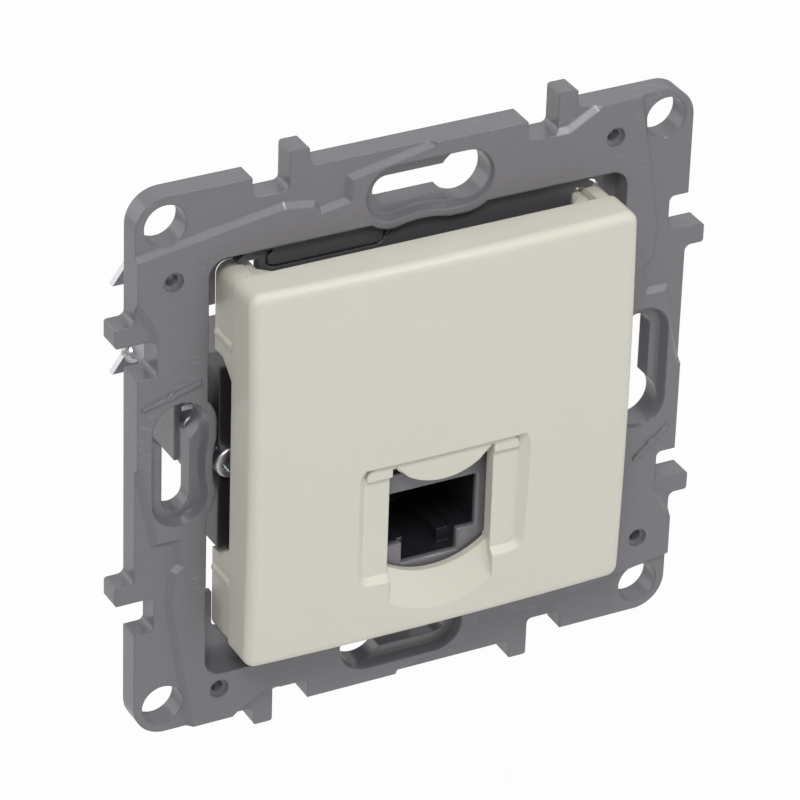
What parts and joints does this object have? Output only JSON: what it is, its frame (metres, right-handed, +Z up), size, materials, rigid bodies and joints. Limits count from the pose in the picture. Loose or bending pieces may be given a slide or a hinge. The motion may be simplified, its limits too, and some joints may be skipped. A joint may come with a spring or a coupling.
{
  "type": "ethernet wall socket",
  "caption": "Flush ethernet wall socket: square grey support frame with claw fixing, ivory cover with a sliding dust shutter, and a tool-less jack.",
  "frame": {"origin": "centre of the support frame's back face, on the wall", "axes": "+X right as seen from the room, +Y into the wall, +Z up; the room is on the -Y side"},
  "size_m": [0.0758, 0.0431, 0.0758],
  "materials": {
    "frame_plastic": "moulded glass-filled plastic",
    "dark_plastic": "moulded",
    "ivory_plastic": "smooth, slightly glossy",
    "black_plastic": "moulded",
    "white_plastic": "moulded",
    "cap_plastic": "moulded",
    "board": "solder mask",
    "gold": "gold plated",
    "tinned_bronze": "tinned",
    "zinc_steel": "zinc plated"
  },
  "bodies": {
    "socket": {"support_frame": "frame_plastic", "front_cover": "ivory_plastic", "shutter_guide": "ivory_plastic", "carrier_plate": "dark_plastic", "mechanism_housing": "frame_plastic", "jack_bezel": "frame_plastic", "jack_insert": "black_plastic", "contact_comb": "black_plastic", "circuit_board": "board", "idc_block_upper": "white_plastic", "idc_block_lower": "white_plastic", "claw_holder_left": "black_plastic", "claw_holder_right": "black_plastic", "contact_1": "gold", "contact_2": "gold", "contact_3": "gold", "contact_4": "gold", "contact_5": "gold", "contact_6": "gold", "contact_7": "gold", "contact_8": "gold", "idc_blade_upper_1": "tinned_bronze", "idc_blade_upper_2": "tinned_bronze", "idc_blade_upper_3": "tinned_bronze", "idc_blade_upper_4": "tinned_bronze", "idc_blade_lower_1": "tinned_bronze", "idc_blade_lower_2": "tinned_bronze", "idc_blade_lower_3": "tinned_bronze", "idc_blade_lower_4": "tinned_bronze"},
    "shutter": {"dust_shutter": "ivory_plastic"},
    "cap": {"wiring_cap": "cap_plastic"},
    "claw_l": {"claw_left": "zinc_steel"},
    "claw_r": {"claw_right": "zinc_steel"},
    "nut_l": {"claw_nut_left": "zinc_steel"},
    "nut_r": {"claw_nut_right": "zinc_steel"},
    "screw_l": {"claw_screw_left": "zinc_steel"},
    "screw_r": {"claw_screw_right": "zinc_steel"}
  },
  "joints": [
    {"name": "shutter_slide", "type": "slide", "parent": "socket", "child": "shutter", "axis": [0, 0, -1], "range_m": [0, 0.0121]},
    {"name": "cap_hinge", "type": "hinge", "parent": "socket", "child": "cap", "pos_m": [0, 0.01395, -0.0211], "axis": [-1, 0, 0], "range_deg": [0, 100]},
    {"name": "claw_left_swing", "type": "hinge", "parent": "socket", "child": "claw_l", "pos_m": [-0.0199, 0.005, 0], "axis": [0, 0, 1], "range_deg": [0, 22]},
    {"name": "claw_right_swing", "type": "hinge", "parent": "socket", "child": "claw_r", "pos_m": [0.0199, 0.005, 0], "axis": [0, 0, -1], "range_deg": [0, 22]},
    {"name": "nut_left_draw", "type": "slide", "parent": "socket", "child": "nut_l", "axis": [0, -1, 0], "range_m": [0, 0.0015]},
    {"name": "nut_right_draw", "type": "slide", "parent": "socket", "child": "nut_r", "axis": [0, -1, 0], "range_m": [0, 0.0015]},
    {"name": "screw_left_turn", "type": "hinge", "parent": "socket", "child": "screw_l", "pos_m": [-0.0239, 0, 0], "axis": [0, 1, 0], "range_deg": [0, 880]},
    {"name": "screw_right_turn", "type": "hinge", "parent": "socket", "child": "screw_r", "pos_m": [0.0239, 0, 0], "axis": [0, 1, 0], "range_deg": [0, 880]}
  ],
  "couplings": [
    {"joint": "nut_left_draw", "follows": "claw_left_swing", "m_per_rad": 0.0038},
    {"joint": "nut_right_draw", "follows": "claw_right_swing", "m_per_rad": 0.0038},
    {"joint": "screw_left_turn", "follows": "claw_left_swing", "ratio": 40},
    {"joint": "screw_right_turn", "follows": "claw_right_swing", "ratio": 40}
  ]
}
